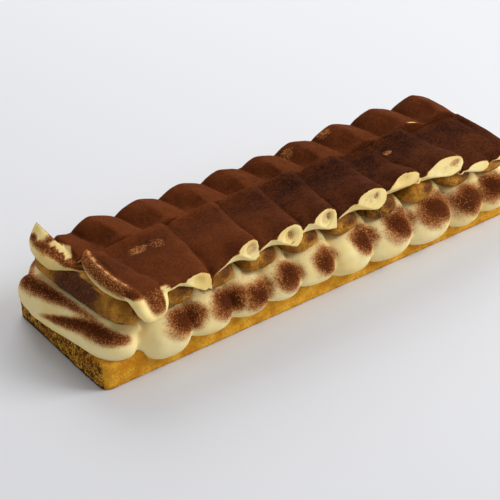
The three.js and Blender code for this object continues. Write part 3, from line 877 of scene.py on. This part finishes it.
def makeCreamMaterial(name, cocoaGroup):
    look = creamLook
    material, tree, shader = newMaterial(name, look["subsurface"], look["specular"])
    drift = rangeNode(tree, noiseNode(tree, coordinatesNode(tree), look["drift"]), *look["driftEdge"])
    cocoa = cocoaNode(tree, cocoaGroup, {
        "Tone": attributeNode(tree, "tone"), "Under Color": mixNode(tree, drift, *look[name])})
    roughness = rangeNode(tree, cocoa["Mask"], 0, 1, look["bare"], look["dusted"])
    wire(tree, shader, cocoa["Color"], roughness, cocoa["Height"], look["grainHeight"])
    return material


spongeLook = {
    "pale": srgb(234, 178, 58),
    "deep": srgb(197, 129, 27),
    "spots": srgb(66, 36, 12),
    "roughness": 0.85,
    "subsurface": 0.05,
    "crumbHeight": 0.9,
}


def makeSpongeMaterial(mottleGroup):
    look = spongeLook
    material, tree, shader = newMaterial("bakedSponge", look["subsurface"])
    baked = mottleNode(tree, mottleGroup, look)
    wire(tree, shader, baked["Color"], look["roughness"], baked["Height"], look["crumbHeight"])
    return material


biscuitLook = {
    "pale": srgb(200, 140, 48),
    "deep": srgb(132, 84, 24),
    "spots": srgb(58, 34, 15),
    "film": srgb(116, 70, 27),
    "inPits": 0.75,  # roughness
    "onCrumbs": 0.5,
    "subsurface": 0.08,
    "crumbHeight": 0.6,
}


def makeBiscuitMaterial(mottleGroup, cocoaGroup):
    look = biscuitLook
    material, tree, shader = newMaterial("soakedBiscuit", look["subsurface"])
    soaked = mottleNode(tree, mottleGroup, look)
    cocoa = cocoaNode(tree, cocoaGroup, {"Under Color": soaked["Color"], "Film": look["film"]})
    roughness = rangeNode(tree, soaked["Height"], 0, 1, look["inPits"], look["onCrumbs"])
    wire(tree, shader, cocoa["Color"], roughness, soaked["Height"], look["crumbHeight"])
    return material


# Build the pieces

def place(piece, node, slot, material):
    piece.data.materials.clear()
    piece.data.materials.append(material)
    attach(piece, "root")
    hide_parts(node)


cocoaGroup = makeCocoaGroup()
mottleGroup = makeMottleGroup()
bedMaterial = makeCreamMaterial("pipedCream", cocoaGroup)
petalMaterial = makeCreamMaterial("petalCream", cocoaGroup)
spongeMaterial = makeSpongeMaterial(mottleGroup)
biscuitMaterial = makeBiscuitMaterial(mottleGroup, cocoaGroup)
print("materials ready")

spongePiece = makeSponge()
bedPiece = makeCreamBed()
biscuits = [makeLadyfinger(index) for index in range(len(ladyfinger["xs"]))]
frontPiece = makeRow(frontRow, "topCreamFront")
backPiece = makeRow(backRow, "topCreamBack")
print("pieces modelled")

rowDust = {
    "upward": (0.1, 0.5),  # cocoa holds where a point faces up this much
    "thinEdgeShift": 0.5,  # and on thin edges down to this much less
    "seamDustAndShadow": (1.5, 4),  # cocoa and painted shadow in the seam: distance from the line between the rows
    "seamZ": (46, 49),
    "seamX": (-127, -120),
    "besideTongue": (-112.5, -47, 5, 7),  # x, y, half width, half depth
    "besideZ": (48.5, 51),
    "besideShare": 0.75,
    "tone": 0.8,
    "ruffleFall": (-3, 7),
    "ruffleFade": (9, 32),
    "rightFrom": (-70, 10),
}


def dustRow(piece, row):
    dust = rowDust
    points, normals = pointsOf(piece), normalsOf(piece)
    x, y, z = points.T
    upward = blurMask(piece, normals[:, 2], 2)
    shift = dust["thinEdgeShift"] * thinEdgeOf(row, x)
    low, high = dust["upward"]
    coverage = ease(upward, low - shift, high - shift)
    # the seam between the rows gets cocoa that also paints its shadow line
    seamDustAndShadow = fade(np.abs(y - petals["middleY"]), *dust["seamDustAndShadow"]) * ease(z, *dust["seamZ"])
    coverage = np.maximum(coverage, seamDustAndShadow * ease(x, *dust["seamX"]))
    for *spot, share in row["bare"]:
        coverage -= share * patch(points, *spot)
    beside = patch(points, *dust["besideTongue"]) * ease(z, *dust["besideZ"])
    coverage = np.maximum(coverage, dust["besideShare"] * beside)
    if "flap" in row:
        coverage = dustFlap(coverage, points, normals, np.array(row["flap"]).T)
    if "lip" in row:
        coverage = dustTongue(coverage, points, np.array(row["lip"]).T)
    hollow = maskOf(piece, "hollow")
    storeMask(piece, "cocoa", coverage * (1 - hollow) + maskOf(piece, "hollowDustAndShade") * hollow)
    # painted shade in the hollow behind the middle ruffle, and the cocoa darker towards the right
    shadeBehindRuffle = ease(-y, *dust["ruffleFall"]) * fade(-y, *dust["ruffleFade"])
    darker = row["ruffleShade"] * shadeBehindRuffle + row["rightShade"] * ease(x, *dust["rightFrom"])
    storeMask(piece, "tone", dust["tone"] - darker)


def thinEdgeOf(row, x):
    # where a petal's outer edge is only the sheet of its tail
    thin = np.zeros(len(x))
    for left, crest, leave in zip(row["rights"], row["crests"][1:], row["leaves"][1:]):
        bodyFrom = left + leave * (crest - left)
        ends = ease(x, bodyFrom, (bodyFrom + crest) / 2)
        thin = np.maximum(thin, ease(x, left - 1, left + 1) * (1 - ends))
    return thin


flapDust = {
    "face": (0.1, 0.5),  # share of the height over which the speckles thicken
    "faceShare": 0.66,
    "torn": (0.68, 0.8),  # the torn patch at the upper edge
    "tornFrom": (7, 10),
    "tornTo": (22, 25),
    "tornShare": 0.2,
    "tip": (0.5, 0.75),  # the bare tip
    "tipFrom": (24, 31),
    "ragged": [(0.04, 0.9, 0), (0.03, 2.1, 1)],  # height, turns per mm and start of each wave
    "topOver": (0, 2),  # mm past the torn edge
    "startY": (-3, 3),
    "facingRight": (0.1, 0.5),
}


def dustFlap(coverage, points, normals, flap):
    # a speckled face over a clean lower lip
    dust = flapDust
    x, y, z = points.T
    ys, lowX, lowZ, _, _, topX, topZ, _ = flap
    foot, footZ, top, edgeZ = (np.interp(y, ys, values) for values in (lowX, lowZ, topX, topZ))
    wide, tall = top - foot, edgeZ - footZ
    height = ((x - foot) * wide + (z - footZ) * tall) / (wide ** 2 + tall ** 2)
    ragged = height + sum(size * np.sin(turns * y + start) for size, turns, start in dust["ragged"])
    torn = ease(ragged, *dust["torn"]) * ease(y, *dust["tornFrom"]) * fade(y, *dust["tornTo"])
    tip = ease(ragged, *dust["tip"]) * ease(y, *dust["tipFrom"])
    face = dust["faceShare"] * ease(height, *dust["face"]) * (1 - np.maximum(torn, tip))
    face = face + dust["tornShare"] * torn
    outside = fade(x - top, *dust["topOver"]) * ease(y, *dust["startY"])
    outside = outside * fade(normals[:, 0], *dust["facingRight"])
    return coverage + (face - coverage) * outside


tongueDust = {
    "lipKnots": 8,  # knots of the lip before it turns under
    "ridge": (0, 3),
    "lipEnd": (-46, -40),
    "lipZ": (47.5, 54.5),
    "lipShare": 0.62,
    "wornShare": 0.22,  # the ridge is worn in places
    "wornSwing": 0.1,
    "wornTurns": 0.8,
    "wornAt": 1,
    "wornWidth": (0.2, 2.2),
    "wornEnd": (-42, -36),
    "wornZ": (53, 55),
    "y": (-46, -43),  # where the tongue is
    "z": (51, 55),
    "x": (-110, -107),
    "hangsFrom": 50,
    "left": (-133, 0.6),  # its sides at the top and how they draw in for each mm down
    "right": (-111.5, 0.15),
    "leftRim": (0.22, 0.5),
    "rightRim": (0.86, 0.96),
    "share": 0.64,
    "tip": (36.5, 46),
}


def dustTongue(coverage, points, lip):
    # the lip along the left end is speckled up to its ridge, the tongue has clean rims
    dust = tongueDust
    x, y, z = points.T
    lipX, lipY = lip[:2, :dust["lipKnots"]]
    ridge = x - np.interp(-y, -lipY, lipX)
    face = fade(ridge, *dust["ridge"]) * ease(y, *dust["lipEnd"])
    coverage = coverage + (dust["lipShare"] * ease(z, *dust["lipZ"]) - coverage) * face
    worn = dust["wornShare"] + dust["wornSwing"] * np.sin(dust["wornTurns"] * y)
    worn = worn * fade(np.abs(ridge - dust["wornAt"]), *dust["wornWidth"])
    coverage -= worn * ease(y, *dust["wornEnd"]) * ease(z, *dust["wornZ"])
    onTongue = fade(y, *dust["y"]) * fade(z, *dust["z"])
    onTongue = onTongue * fade(x, *dust["x"])
    down = dust["hangsFrom"] - z
    left = dust["left"][0] + dust["left"][1] * down
    right = dust["right"][0] - dust["right"][1] * down
    across = (x - left) / (right - left)
    rims = ease(across, *dust["leftRim"]) * fade(across, *dust["rightRim"])
    return coverage + (dust["share"] * rims * ease(z, *dust["tip"]) - coverage) * onTongue


bedSpots = {
    # cocoa on the finger ends along the front: x, z, half width, half height
    "spots": [(-100.5, 29, 13, 9), (-71.5, 28.5, 13, 9), (-52, 26, 11, 9), (-29, 28.5, 10, 9),
              (-3.1, 28, 9, 9), (28, 31, 10, 10), (56, 31.5, 13, 12), (86, 31, 16, 12),
              (112, 27.5, 14, 11), (132.5, 29, 10, 10)],
    "frontY": -50.0,
    "backY": 44.0,
    "deep": 10.0,
    "topside": 1.3,  # the spots end sooner upwards
    "spotShare": 0.92,
    "spotFade": (0.1, 1.75),
    "wobble": (0.07, 0.4, 0.5),  # size, turns per mm along and up
    "leftEnd": (-132, -124),  # left of this the cocoa lies where it fell
    "fallenShare": 0.85,
    "fallenUp": (0.05, 0.95),
    "veilAndShadeShare": 0.24,  # a thin veil of cocoa under the biscuits' ends, partly painted shade under the overhang
    "veilZ": (29, 36),
    "veilY": (36, 42),
    "thickTone": 0.5,  # thick cocoa is darker by this
    "thick": (0.3, 1),
}


def dustBed(piece, covers):
    dust = bedSpots
    fallen, points, normals = fallingShare(piece, covers)
    fallen, upward = blurMask(piece, fallen, 12), blurMask(piece, normals[:, 2], 4)
    leftEnd = fade(points[:, 0], *dust["leftEnd"])
    coverage = dust["fallenShare"] * fallen * leftEnd * ease(upward, *dust["fallenUp"])
    size, along, up = dust["wobble"]
    wobble = size * np.sin(along * points[:, 0] + up * points[:, 2])
    for x, z, wide, tall in dust["spots"]:
        for y in (dust["frontY"], dust["backY"]):
            off = points - (x, y, z)
            off[:, 2] *= np.where(off[:, 2] > 0, dust["topside"], 1)
            away = np.linalg.norm(off / (wide, dust["deep"], tall), axis=1) + wobble
            spot = dust["spotShare"] * fade(away, *dust["spotFade"])
            coverage = np.maximum(coverage, (1 - leftEnd) * spot)
    # the veil is thin cocoa and also painted shade under the overhang
    veil = ease(points[:, 2], *dust["veilZ"]) * ease(np.abs(points[:, 1]), *dust["veilY"])
    storeMask(piece, "cocoa", np.maximum(coverage, dust["veilAndShadeShare"] * veil))
    storeMask(piece, "tone", 1.0 - dust["thickTone"] * ease(coverage, *dust["thick"]))


biscuitDust = {
    "soaking": [0.24, 0.3, 0.2, 0.26, 0.2, 0.3, 0.36, 0.16, 0.3, 0.22],  # how dark each one is mottled
    "smearAndShadow": 0.72,  # cocoa smear and painted shadow of the cream above, on the flank at the left end of the bar
    "smearY": -8,
    "smearFade": (12, 26),
    "smearX": -138,
    "smudge": 0.56,  # on each front end
    "smudgeAside": 4,  # from the biscuit's middle
    "smudgeZ": 44,
    "smudgeWide": 7,
    "smudgeTall": 4.5,
    "smudgeFade": (0.2, 1.3),
    "smudgeY": -36,
    "fallen": 0.7,
    "fallenUp": (0.1, 0.8),
}


def dustBiscuit(piece, soaked, covers):
    dust = biscuitDust
    fallen, points, normals = fallingShare(piece, covers)
    x, y, z = points.T
    # the smear is partly cocoa and partly painted shadow under the cream
    smearAndShadow = fade(np.abs(y - dust["smearY"]), *dust["smearFade"])
    smearAndShadow = dust["smearAndShadow"] * smearAndShadow * (x < dust["smearX"])
    side = (x - x.mean() - dust["smudgeAside"]) / dust["smudgeWide"]
    up = (z - dust["smudgeZ"]) / dust["smudgeTall"]
    smudge = fade(np.hypot(side, up), *dust["smudgeFade"])
    smudge = dust["smudge"] * smudge * (y < dust["smudgeY"])
    fallen = dust["fallen"] * fallen * ease(normals[:, 2], *dust["fallenUp"])
    storeMask(piece, "cocoa", np.maximum(np.maximum(smearAndShadow, smudge), fallen))
    storeMask(piece, "brownedAndShaded", np.full(len(points), soaked))


spongeBrowningAndShade = {
    "all": 0.12,
    # the cut left end is darker: dark crumb, with painted shade from the cream hanging over it
    "leftEnd": 0.28,
    "leftX": (149.5, 151),
    "foot": 0.24,
    "footZ": 2.5,
}


def brownAndShadeSponge(piece):
    darkening = spongeBrowningAndShade
    x, _, z = pointsOf(piece).T
    footZ = darkening["footZ"]
    # the left end's darkening is partly painted shade
    brownedAndShaded = darkening["all"] + darkening["leftEnd"] * ease(-x, *darkening["leftX"])
    storeMask(piece, "brownedAndShaded", brownedAndShaded + darkening["foot"] * ease(footZ - z, 0, footZ))


dustRow(frontPiece, frontRow)
dustRow(backPiece, backRow)
dustBed(bedPiece, [frontPiece, backPiece, *biscuits])
for biscuit, soaked in zip(biscuits, biscuitDust["soaking"]):
    dustBiscuit(biscuit, soaked, [frontPiece, backPiece])
brownAndShadeSponge(spongePiece)
print("cocoa dusted")

place(spongePiece, "sponge_base", "sponge", spongeMaterial)
place(bedPiece, "cream_bed", "cream", bedMaterial)
for index, biscuit in enumerate(biscuits):
    place(biscuit, f"ladyfinger_{index + 1:02d}", "ladyfinger", biscuitMaterial)
place(frontPiece, "top_cream_front", "cocoa_cream", petalMaterial)
place(backPiece, "top_cream_back", "cocoa_cream", petalMaterial)


# Floor, light and camera

studio = {
    "floor": srgb(214, 215, 219),
    "floorSize": 6.0,
    "floorRoughness": 0.6,
    "world": (1.0, 0.99, 0.98, 1.0),
    "worldStrength": 0.45,
    # name, place in metres, size in metres, power in watts
    "lamps": [("keySoftbox", (0.95, -0.75, 0.9), 0.7, 17.0),
              ("backSoftbox", (0.35, 0.85, 0.9), 0.9, 8.0)],
}

viewpoint = {
    "azimuth": -37.251,
    "elevation": 33.267,
    "distance": 0.9023,
    "target": (-9.95, 11.87, 5.23),
    "lens": 106.8,
    "sensor": 36,
}


def makeStudio():
    half = studio["floorSize"] / 2
    mesh = bpy.data.meshes.new("studioFloor")
    corners = [(-half, -half, 0), (half, -half, 0), (half, half, 0), (-half, half, 0)]
    mesh.from_pydata(corners, [], [(0, 1, 2, 3)])
    floor = addObject("studioFloor", mesh)
    material, tree, shader = newMaterial("paleFloor")
    feed(tree, shader, {"Base Color": studio["floor"], "Roughness": studio["floorRoughness"]})
    mesh.materials.append(material)
    world = bpy.data.worlds.new("studioWorld")
    world.use_nodes = True
    background = world.node_tree.nodes["Background"]
    feed(world.node_tree, background, {"Color": studio["world"], "Strength": studio["worldStrength"]})
    bpy.context.scene.world = world
    for name, spot, size, power in studio["lamps"]:
        data = bpy.data.lights.new(name, "AREA")
        data.size = size
        data.energy = power
        lamp = addObject(name, data)
        lamp.location = spot
        lamp.rotation_euler = Vector(spot).to_track_quat("Z", "Y").to_euler()


def makeCamera():
    turn, tilt = math.radians(viewpoint["azimuth"]), math.radians(viewpoint["elevation"])
    back = Vector((math.sin(turn) * math.cos(tilt), -math.cos(turn) * math.cos(tilt), math.sin(tilt)))
    data = bpy.data.cameras.new("camera")
    data.lens = viewpoint["lens"]
    data.sensor_width = viewpoint["sensor"]
    camera = addObject("camera", data)
    target = Vector(np.array(viewpoint["target"]) * mm + barMiddle)
    camera.location = target + back * viewpoint["distance"]
    camera.rotation_euler = back.to_track_quat("Z", "Y").to_euler()
    bpy.context.scene.camera = camera


makeStudio()
makeCamera()
bpy.context.scene.view_settings.view_transform = "Standard"
print("studio ready")
